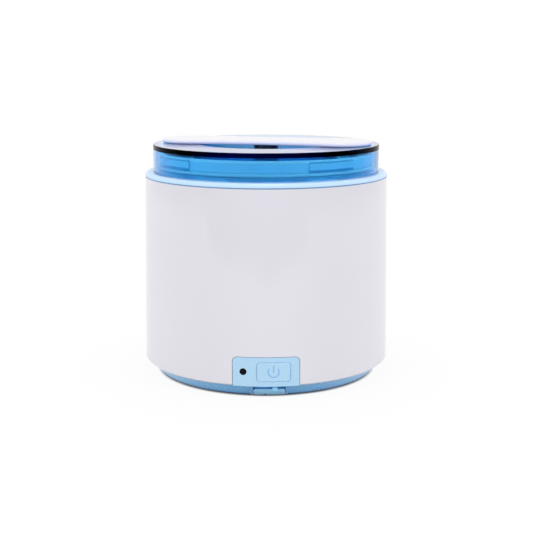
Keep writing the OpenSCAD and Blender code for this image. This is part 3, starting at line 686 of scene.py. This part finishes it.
class CLEANER_OT_button_mark(bpy.types.Operator):
    """Makes the on and off mark on the button's curved face"""

    bl_idname = "cleaner.button_mark"
    bl_label = "Button mark"

    def execute(self, context):
        colours, sizes, _ = settings(context)
        low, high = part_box("button_cap")
        middle, half, gap = (low + high) / 2, sizes.mark_line / 2, sizes.mark_gap
        bm = bmesh.new()
        ends = [bm.verts.new((sizes.mark_r + side * half, 0, 0)) for side in (-1, 1)]
        start = [bm.edges.new(ends)]
        turn(bm, ends, gap - math.pi / 2, "Y")
        bmesh.ops.spin(
            bm, geom=ends + start, cent=(0, 0, 0), axis=(0, 1, 0), angle=2 * (math.pi - gap), steps=40
        )
        stroke = bmesh.ops.create_grid(bm, x_segments=2, y_segments=8, size=0.5)["verts"]
        turn(bm, stroke, math.pi / 2, "X")
        bmesh.ops.scale(bm, vec=(sizes.mark_line, 1, sizes.mark_stroke), verts=stroke)
        bmesh.ops.translate(bm, vec=(0, 0, sizes.mark_stroke_up), verts=stroke)
        bmesh.ops.recalc_face_normals(bm, faces=bm.faces)
        bmesh.ops.translate(bm, vec=(middle.x, 0, middle.z + sizes.mark_up), verts=bm.verts)
        wrap(bm, sizes, sizes.button_proud - sizes.mark_proud, sizes.button_proud + sizes.mark_proud)
        piece("power_mark", bm, "button", moulded("mark_blue", colours.mark, 0.34))
        return {"FINISHED"}


class CLEANER_OT_button_ring(bpy.types.Operator):
    """Makes a darker ring in the gap round the button, painted shade that stands in for the groove's shadow
    """

    bl_idname = "cleaner.button_ring"
    bl_label = "Button ring"

    def execute(self, context):
        colours, sizes, _ = settings(context)
        low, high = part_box("button_cap")
        reach = sizes.ring_line - sizes.button_lip + sizes.ring_play
        wide, tall = high.x - low.x + 2 * reach, high.z - low.z + 2 * reach
        bm = bmesh.new()
        bmesh.ops.create_grid(bm, x_segments=8, y_segments=1, size=0.5)
        bmesh.ops.scale(bm, vec=(wide, tall, 1), verts=bm.verts)
        turn(bm, bm.verts, math.pi / 2, "X")
        bmesh.ops.translate(bm, vec=(low + high) / 2, verts=bm.verts)
        corners = [v for v in bm.verts if len(v.link_edges) == 2]
        bmesh.ops.bevel(
            bm, geom=corners, offset=sizes.ring_corner_r, offset_type="OFFSET", affect="VERTICES", segments=6,
            profile=0.5, material=-1,
        )
        ring = bmesh.ops.inset_region(
            bm, faces=bm.faces[:], thickness=sizes.ring_line, use_boundary=True, use_even_offset=True
        )["faces"]
        bmesh.ops.delete(bm, geom=[f for f in bm.faces if f not in set(ring)], context="FACES")
        wrap(bm, sizes, -sizes.ring_back, -sizes.ring_deep)
        # The ring fills the groove with a darker blue: painted shade of the groove.
        piece("button_ring", bm, "housing", moulded("ring_blue", colours.ring, 0.4))
        return {"FINISHED"}


class CLEANER_OT_rubber(bpy.types.Operator):
    """Gives the feet and the port's cover their rubber"""

    bl_idname = "cleaner.rubber"
    bl_label = "Rubber pieces"

    def execute(self, context):
        colours, _, _ = settings(context)
        dress(rubbery("foot_rubber", colours.foot_rubber), "rubber_feet")
        dress(rubbery("port_rubber", colours.port_rubber, 0.5), "port_cover")
        return {"FINISHED"}


class CLEANER_OT_tank(bpy.types.Operator):
    """Gives the tank its drawn steel, and what is under it its glue and silvered ceramic"""

    bl_idname = "cleaner.tank"
    bl_label = "Tank and transducer"

    def execute(self, context):
        colours, _, _ = settings(context)
        dress(drawn_steel("drawn_steel", colours.steel), "tank")
        dress(potted("bond_resin", tint(196, 178, 120)), "transducer_bond")
        dress(fired_ceramic("silvered_disc"), "transducer_disc")
        return {"FINISHED"}


class CLEANER_OT_panel(bpy.types.Operator):
    """Gives the indicator, its lens, the switch and the chips their finishes"""

    bl_idname = "cleaner.panel"
    bl_label = "Panel pieces"

    def execute(self, context):
        colours, _, _ = settings(context)
        dress(moulded("black_lens", colours.lens, 0.3, Specular_IOR_Level=0.1), "indicator_lens")
        dress(potted("lamp_resin", tint(206, 226, 206), 0.15), "indicator_led")
        black = moulded("black_moulding", tint(28, 28, 30), 0.42)
        dress(black, "tact_switch", "power_transistor", "controller_chip")
        return {"FINISHED"}


class CLEANER_OT_drive(bpy.types.Operator):
    """Winds the inductor, and dresses the boards and what stands on them"""

    bl_idname = "cleaner.drive"
    bl_label = "Drive electronics"

    RING, WIDE = 0.68, 0.32  # ring's middle and half width with its wire, in outer radii
    CORNER = 0.8  # core's corner radius, in half widths of the core
    STRAIGHT, PULL = 0.7, 1.2  # half of a turn's upright part, in the same half widths, and its stretch
    SPREAD = math.radians(330)  # how much of the ring the turns take up
    PLAY = 0.02 * MM  # play between the turns and the top of the solid

    turns: IntProperty(
        name="Turns", description="Turns of wire on the inductor's ring", default=22, min=8, max=48
    )
    wire: length("Wire", "Diameter of the wire", 0.8)

    def core(self, wide, tall, ring, middle):
        """The ring core, whose section has round corners."""
        bm = bmesh.new()
        corner = wide * self.CORNER
        section = []
        for cx, cz, begin in ((1, 1, 0), (-1, 1, 90), (-1, -1, 180), (1, -1, 270)):
            for step in range(5):
                a = math.radians(begin + 22.5 * step)
                section.append((
                    ring + cx * (wide - corner) + corner * math.cos(a),
                    cz * (tall - corner) + corner * math.sin(a),
                ))
        lathe(bm, section + section[:1], 64, middle)
        return bm

    def coil(self, wide, tall, ring, middle):
        """The turns of wire round the core."""
        bm = bmesh.new()
        loop = bmesh.ops.create_circle(bm, segments=8, radius=self.wire / 2)["verts"]
        bmesh.ops.translate(bm, vec=(wide + self.wire / 2, 0, 0), verts=loop)
        bmesh.ops.spin(
            bm, geom=bm.verts[:] + bm.edges[:], cent=(0, 0, 0), axis=(0, 1, 0), angle=2 * math.pi, steps=24,
            use_merge=True,
        )
        for v in bm.verts:
            upright = math.copysign(min(abs(v.co.z), wide * self.STRAIGHT), v.co.z)
            v.co.z += upright * (tall / wide - 1) * self.PULL
        highest = max(v.co.z for v in bm.verts)
        bmesh.ops.scale(bm, vec=(1, 1, (tall + self.wire - self.PLAY) / highest), verts=bm.verts)
        bmesh.ops.translate(bm, vec=(ring, 0, 0), verts=bm.verts)
        first = bm.verts[:] + bm.edges[:] + bm.faces[:]
        for index in range(1, self.turns):
            copy = bmesh.ops.duplicate(bm, geom=first)["geom"]
            turn(bm, only(BMVert, copy), index * self.SPREAD / self.turns, "Z")
        bmesh.ops.translate(bm, vec=middle, verts=bm.verts)
        return bm

    def execute(self, context):
        low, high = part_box("drive_inductor")
        outer = (high.x - low.x) / 2
        inside = (self.WIDE * outer - self.wire, (high.z - low.z) / 2 - self.wire)
        place = (self.RING * outer, (low + high) / 2)
        ferrite = potted("ferrite", tint(54, 58, 62), 0.6)
        ring = self.core(*inside, *place)
        piece("inductor_ring", ring, "housing", ferrite, ["drive_inductor"])
        copper = metal("enamelled_copper", tint(186, 98, 48), 0.28, grain=0.8 * MM)
        piece("inductor_turns", self.coil(*inside, *place), "housing", copper)
        dress(circuit_board("green_board"), "main_board", "button_board", "charge_board")
        dress(sleeved_can("sleeved_can"), "filter_capacitors")
        dress(metal("bare_aluminium", tint(206, 207, 210), 0.36, (1, 1, 0.05)), "heat_sink")
        dress(moulded("ivory_nylon", tint(232, 225, 204), 0.4), "lead_connector")
        dress(metal("tinned_steel", tint(206, 205, 202), 0.26), "charge_socket")
        dress(flat_ribbon("ribbon_grey"), "panel_ribbon")
        dress(leads("lead_skin"), "transducer_leads", "battery_leads", "charge_leads")
        return {"FINISHED"}


class CLEANER_OT_battery(bpy.types.Operator):
    """Dresses the cells, their strips and their holder"""

    bl_idname = "cleaner.battery"
    bl_label = "Battery"

    def execute(self, context):
        dress(wrapped_cell("wrapped_cell"), "battery_cells")
        dress(metal("nickel_strip", tint(198, 194, 184), 0.3, (1, 0.1, 1)), "battery_tabs")
        grey = moulded("holder_grey", tint(96, 98, 102), 0.5, grain=0.4 * MM, relief=0.01 * MM)
        dress(grey, "battery_holder")
        return {"FINISHED"}


class CLEANER_OT_fasteners(bpy.types.Operator):
    """Makes the screws with their cross recesses and threads"""

    bl_idname = "cleaner.fasteners"
    bl_label = "Fasteners"

    # Piece, node, circle's radius, angles on it, seat's height, whether the points are up, and the shank's
    # radius, the head's radius and height and the length, all in mm
    SETS = (
        ("housing_screws", "base_screws", 46.5, (45, 135, 225, 315), 7.0, True, (1.4, 2.8, 2.4, 16)),
        ("circuit_screws", "board_screws", 38.6, (12, 168, 232, 308), 26.7, False, (1.1, 2.2, 1.8, 7)),
    )
    ARM, REACH, FACE = 0.16, 0.56, 0.78  # cross's half width and reach, flat face, in head radii
    CROWN = ((0.92, 0.8), (1.0, 0.45), (1.0, 0.0))  # rounding of the head: shares of its radius and height
    FLOOR, SUNK = 0.72, 0.55  # size of the cross at its floor, and its depth in head heights
    CORE, TIP, POINT = 0.78, 0.1, 1.2  # core, blunt tip and length of the point, in shank radii
    ROOT = 0.96  # where the thread starts, as a share of the core
    FLANK, RISE, STEPS = 0.2, 0.6, 20  # thread's half width and start in pitches, and steps a turn

    pitch: length("Pitch", "Pitch of the threads", 1.1)

    def head(self, bm, radius, tall):
        """A pan head under the origin, with a cross recess sunk into its face."""
        bmesh.ops.create_grid(bm, x_segments=3, y_segments=3, size=1)
        arm, reach = self.ARM * radius, self.REACH * radius
        for v in bm.verts:
            x, y = (math.copysign(arm if abs(c) < 0.5 else reach, c) for c in v.co.xy)
            v.co = (x, y, -tall)
        crossed = [f for f in bm.faces if min(map(abs, f.calc_center_median().xy)) < arm / 2]
        edge = [e for e in bm.edges if e.is_boundary]
        ring = bmesh.ops.create_circle(bm, segments=12, radius=self.FACE * radius)["verts"]
        turn(bm, ring, math.radians(15), "Z")
        bmesh.ops.translate(bm, vec=(0, 0, -tall), verts=ring)
        outer = list({e for v in ring for e in v.link_edges})
        bmesh.ops.bridge_loops(bm, edges=edge + outer)
        for share, drop in self.CROWN:
            grown = bmesh.ops.extrude_edge_only(bm, edges=outer)["geom"]
            outer = only(BMEdge, grown)
            for v in only(BMVert, grown):
                v.co.xy = v.co.xy.normalized() * radius * share
                v.co.z = -tall * drop
        sunk = bmesh.ops.extrude_face_region(bm, geom=crossed)["geom"]
        for v in only(BMVert, sunk):
            v.co.xy *= self.FLOOR
            v.co.z += self.SUNK * tall
        bmesh.ops.delete(bm, geom=crossed, context="FACES")
        bmesh.ops.contextual_create(bm, geom=outer)

    def shank(self, bm, radius, long):
        """A shank over the origin, with its thread wound round it."""
        core, tip, point = self.CORE * radius, self.TIP * radius, self.POINT * radius
        lathe(bm, [(0, 0), (core, 0), (core, long - point), (tip, long), (0, long)], 24)
        turns = (long - 2 * point - self.pitch) / self.pitch
        root, flank = self.ROOT * core, self.FLANK * self.pitch
        corners = [bm.verts.new((r, 0, z)) for r, z in ((root, 0), (radius, flank), (root, 2 * flank))]
        edges = [bm.edges.new(pair) for pair in zip(corners, corners[1:] + corners[:1])]
        start = bm.faces.new(corners)
        bmesh.ops.translate(bm, vec=(0, 0, self.RISE * self.pitch), verts=corners)
        steps = int(turns * self.STEPS)
        bmesh.ops.spin(
            bm, geom=corners + edges + [start], cent=(0, 0, 0), axis=(0, 0, 1), angle=2 * math.pi * turns,
            steps=steps, dvec=(0, 0, turns * self.pitch / steps),
        )

    def screws(self, name, node, circle, angles, seat, up, sizes, finish):
        """One piece of like screws, whose heads sit at that height."""
        shank_r, head_r, head_h, long = (s * MM for s in sizes)
        bm = bmesh.new()
        self.head(bm, head_r, head_h)
        self.shank(bm, shank_r, long)
        close_up(bm)
        if not up:
            turn(bm, bm.verts, math.pi, "X")
        made = bmesh.new()
        for a in map(math.radians, angles):
            copy = bm.copy()
            place = (circle * math.cos(a) * MM, circle * math.sin(a) * MM, seat * MM)
            bmesh.ops.translate(copy, vec=place, verts=copy.verts)
            mesh = bpy.data.meshes.new("screw_copy")
            copy.to_mesh(mesh)
            copy.free()
            made.from_mesh(mesh)
            bpy.data.meshes.remove(mesh)
        bm.free()
        piece(name, made, "housing", finish, [node])

    def execute(self, context):
        zinc = metal("bright_zinc", tint(196, 198, 202), 0.3, grain=0.6 * MM)
        for row in self.SETS:
            self.screws(*row, zinc)
        dress(zinc, "handle_screw")
        return {"FINISHED"}


class Paper(Net):
    """The nodes of what stands round the object."""

    def shown(self):
        """1 for rays from the camera and through or off the object, 0 for rays that carry light to it."""
        path = self.node("ShaderNodeLightPath").outputs
        total = path["Is Camera Ray"]
        for name in ("Is Glossy Ray", "Is Transmission Ray"):
            total = self.maths("MAXIMUM", total, path[name])
        return total

    def mix(self, factor, first, second):
        """A shader between two."""
        made = self.node("ShaderNodeMixShader")
        for slot, source in enumerate((factor, first, second)):
            self.feed(source, made.inputs[slot])
        return made.outputs["Shader"]

    def matt(self, grey):
        return self.node("ShaderNodeBsdfDiffuse", Color=(grey, grey, grey, 1)).outputs["BSDF"]


class CLEANER_OT_stage(bpy.types.Operator):
    """Sets the floor, the light from all round, the softboxes and the camera"""

    bl_idname = "cleaner.stage"
    bl_label = "Stage"

    FLOOR = 1.6  # half of the floor's width in metres
    # Rim of the gobo: distance from the axis in metres, and degrees round from the front
    GOBO = (
        (0.47, -50), (0.40, -25), (0.36, -10), (0.30, 2), (0.36, 13), (0.40, 22), (0.47, 35), (0.72, 35),
        *((0.72, a) for a in range(45, 146, 10)),
        *((3, a) for a in range(145, -146, -10)),
        *((0.72, a) for a in range(-145, -49, 10)),
    )
    GOBO_UP, GOBO_GREY = 2 * MM, 0.02
    GOBO_FADE = (-0.1, 0.75)  # share of the way to the back where it starts to fade, and where it ends
    # Name, setting of its power, size, place, and whether gloss and clear plastic show it
    BOXES = (
        ("overhead", "overhead", 0.3, (0, -0.1, 0.95), (True, True)),
        ("left_box", "sides", 0.9, (-1.3, -0.86, 0.5), (False, True)),
        ("right_box", "sides", 0.9, (1.3, -0.86, 0.5), (False, True)),
        ("back_box", "back", 0.9, (0, 1.56, 0.5), (False, False)),
    )
    AIM = Vector((0, 0, 0.06))  # what the softboxes point at

    def sky(self, scene, strength):
        scene.world = bpy.data.worlds.new("studio")
        net = Paper(scene.world, "ShaderNodeOutputWorld")
        lit, plain = (
            net.node("ShaderNodeBackground", Color=(1, 1, 1, 1), Strength=level).outputs["Background"]
            for level in (strength, 1.0)
        )
        net.show(net.mix(net.shown(), lit, plain))

    def sheet(self, scene, name, bm):
        """A flat thing of the stage, and the nodes of its material."""
        mesh = bpy.data.meshes.new(name)
        bm.to_mesh(mesh)
        bm.free()
        made = bpy.data.objects.new(name, mesh)
        scene.collection.objects.link(made)
        material = bpy.data.materials.new(name + "_paper")
        mesh.materials.append(material)
        return Paper(material, "ShaderNodeOutputMaterial")

    def floor(self, scene, studio):
        """White floor that takes the object's shadow beside it, and fades to plain white."""
        bm = bmesh.new()
        bmesh.ops.create_grid(bm, x_segments=4, y_segments=4, size=self.FLOOR)
        net = self.sheet(scene, "floor", bm)
        away = net.vector("LENGTH", net.coordinates)["Value"]
        beside = net.between(away, 0, 1, studio.shadow_r, studio.shadow_end)
        fade = net.between(away, studio.floor_glow, 1, studio.fade_r, studio.fade_end)
        white = net.node("ShaderNodeEmission").outputs["Emission"]
        seen = net.mix(net.maths("MINIMUM", beside, fade), net.matt(studio.floor_matt), white)
        net.show(net.mix(net.shown(), net.matt(studio.floor_grey), seen))

    def gobo(self, scene):
        """Dark sheet on the floor that only the object's gloss sees, fading out behind its sides."""
        bm = bmesh.new()
        rim = ((r, math.radians(a)) for r, a in self.GOBO)
        bm.faces.new([bm.verts.new((r * math.sin(a), -r * math.cos(a), self.GOBO_UP)) for r, a in rim])
        net = self.sheet(scene, "gobo", bm)
        _, back, _ = net.axes(net.vector("NORMALIZE", net.coordinates)["Vector"])
        fade = net.between(back, 1, 0, *self.GOBO_FADE)
        gloss = net.node("ShaderNodeLightPath").outputs["Is Glossy Ray"]
        clear = net.node("ShaderNodeBsdfTransparent").outputs["BSDF"]
        net.show(net.mix(net.maths("MINIMUM", gloss, fade), clear, net.matt(self.GOBO_GREY)))

    def softbox(self, scene, name, power, size, place, seen):
        lamp = bpy.data.lights.new(name, "AREA")
        lamp.size = size
        lamp.energy = power
        made = bpy.data.objects.new(name, lamp)
        made.location = place
        made.rotation_euler = (self.AIM - Vector(place)).to_track_quat("-Z", "Y").to_euler()
        made.visible_glossy, made.visible_transmission = seen
        scene.collection.objects.link(made)

    def execute(self, context):
        _, _, studio = settings(context)
        scene = context.scene
        self.sky(scene, studio.sky)
        self.floor(scene, studio)
        self.gobo(scene)
        for name, power, *row in self.BOXES:
            self.softbox(scene, name, getattr(studio, power), *row)
        camera = bpy.data.cameras.new("camera")
        camera.lens = studio.camera_lens
        camera.sensor_width = 36
        camera.clip_start, camera.clip_end = 0.01, 20
        made = bpy.data.objects.new("camera", camera)
        made.location = (studio.camera_x, -studio.camera_back, studio.camera_up)
        made.rotation_euler = (math.pi / 2 - studio.camera_dip, 0, 0)
        scene.collection.objects.link(made)
        scene.camera = made
        scene.view_settings.view_transform = "Standard"
        return {"FINISHED"}


OPERATORS = (
    CLEANER_OT_stage,
    CLEANER_OT_sleeve,
    CLEANER_OT_mouldings,
    CLEANER_OT_lid,
    CLEANER_OT_handle,
    CLEANER_OT_button_mark,
    CLEANER_OT_button_ring,
    CLEANER_OT_rubber,
    CLEANER_OT_tank,
    CLEANER_OT_panel,
    CLEANER_OT_drive,
    CLEANER_OT_battery,
    CLEANER_OT_fasteners,
)


class CLEANER_PT_sidebar(bpy.types.Panel):
    """The cleaner's pieces and settings, in the 3D view's sidebar"""

    bl_idname = "CLEANER_PT_sidebar"
    bl_label = "Ultrasonic Cleaner"
    bl_space_type = "VIEW_3D"
    bl_region_type = "UI"
    bl_category = "Cleaner"

    def draw(self, context):
        for group in settings(context):
            box = self.layout.box()
            for name in group.__annotations__:
                box.prop(group, name)
        for operator in OPERATORS:
            self.layout.operator(operator.bl_idname)


GROUPS = {
    "cleaner_colours": CleanerColours,
    "cleaner_sizes": CleanerSizes,
    "cleaner_studio": CleanerStudio,
}
CLASSES = (*GROUPS.values(), *OPERATORS, CLEANER_PT_sidebar)


def register():
    for made in CLASSES:
        bpy.utils.register_class(made)
    for name, group in GROUPS.items():
        setattr(bpy.types.Scene, name, PointerProperty(type=group))


def unregister():
    for name in GROUPS:
        delattr(bpy.types.Scene, name)
    for made in reversed(CLASSES):
        bpy.utils.unregister_class(made)


def main():
    register()
    for operator in OPERATORS:
        group, name = operator.bl_idname.split(".")
        getattr(getattr(bpy.ops, group), name)()


if __name__ == "__main__":
    main()
